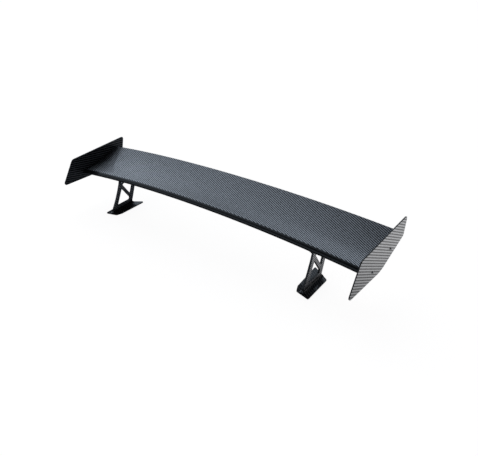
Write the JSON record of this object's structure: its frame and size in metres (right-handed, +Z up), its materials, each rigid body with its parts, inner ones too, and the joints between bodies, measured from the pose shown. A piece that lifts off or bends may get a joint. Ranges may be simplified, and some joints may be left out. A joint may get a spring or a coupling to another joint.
{
  "type": "racing rear wing",
  "caption": "Arched carbon fibre racing rear wing: a cambered blade between two endplates, held by two truss uprights on feet and tilted about pivot bolts to set its angle of attack.",
  "frame": {"origin": "middle of the bounding box's underside, on the surface the feet stand on", "axes": "+X towards the right end of the span, +Y downstream towards the trailing edge, +Z up"},
  "size_m": [1.417, 0.3502, 0.215],
  "materials": {
    "blade_carbon": "clear-coated 2x2 twill carbon fibre laminate",
    "plate_carbon": "clear-coated 2x2 twill carbon fibre plate",
    "inner_carbon": "uncoated carbon fibre laminate",
    "inner_aluminium": "machined",
    "black_aluminium": "black anodised",
    "steel_fixings": "plain steel fixings, darkened on the endplates",
    "brass_inserts": "turned",
    "rubber_gasket": "matt"
  },
  "bodies": {
    "stand": {"upright_left": "plate_carbon", "upright_right": "plate_carbon", "foot_left": "plate_carbon", "foot_right": "plate_carbon", "foot_gasket_left": "rubber_gasket", "foot_gasket_right": "rubber_gasket", "foot_screw_front_left": "steel_fixings", "foot_screw_front_right": "steel_fixings", "foot_screw_rear_left": "steel_fixings", "foot_screw_rear_right": "steel_fixings", "foot_insert_front_left": "brass_inserts", "foot_insert_front_right": "brass_inserts", "foot_insert_rear_left": "brass_inserts", "foot_insert_rear_right": "brass_inserts", "pivot_bolt_left": "steel_fixings", "pivot_bolt_right": "steel_fixings", "pivot_washer_left": "steel_fixings", "pivot_washer_right": "steel_fixings", "pivot_nut_left": "steel_fixings", "pivot_nut_right": "steel_fixings", "clamp_bolt_left": "steel_fixings", "clamp_bolt_right": "steel_fixings", "clamp_washer_left": "steel_fixings", "clamp_washer_right": "steel_fixings", "clamp_nut_left": "steel_fixings", "clamp_nut_right": "steel_fixings"},
    "wing": {"wing_upper_skin": "blade_carbon", "wing_lower_skin": "blade_carbon", "front_spar": "inner_carbon", "rear_spar": "inner_carbon", "end_rib_left": "inner_aluminium", "end_rib_right": "inner_aluminium", "mount_block_left": "inner_aluminium", "mount_block_right": "inner_aluminium", "wing_bracket_left": "black_aluminium", "wing_bracket_right": "black_aluminium", "endplate_left": "plate_carbon", "endplate_right": "plate_carbon", "endplate_screw_front_left": "steel_fixings", "endplate_screw_front_right": "steel_fixings", "endplate_screw_rear_left": "steel_fixings", "endplate_screw_rear_right": "steel_fixings", "bracket_screw_front_left": "steel_fixings", "bracket_screw_front_right": "steel_fixings", "bracket_screw_rear_left": "steel_fixings", "bracket_screw_rear_right": "steel_fixings"}
  },
  "joints": [
    {"name": "angle_of_attack", "type": "hinge", "parent": "stand", "child": "wing", "pos_m": [0, -0.0311, 0.123], "axis": [1, 0, 0], "range_deg": [-3, 9]}
  ]
}
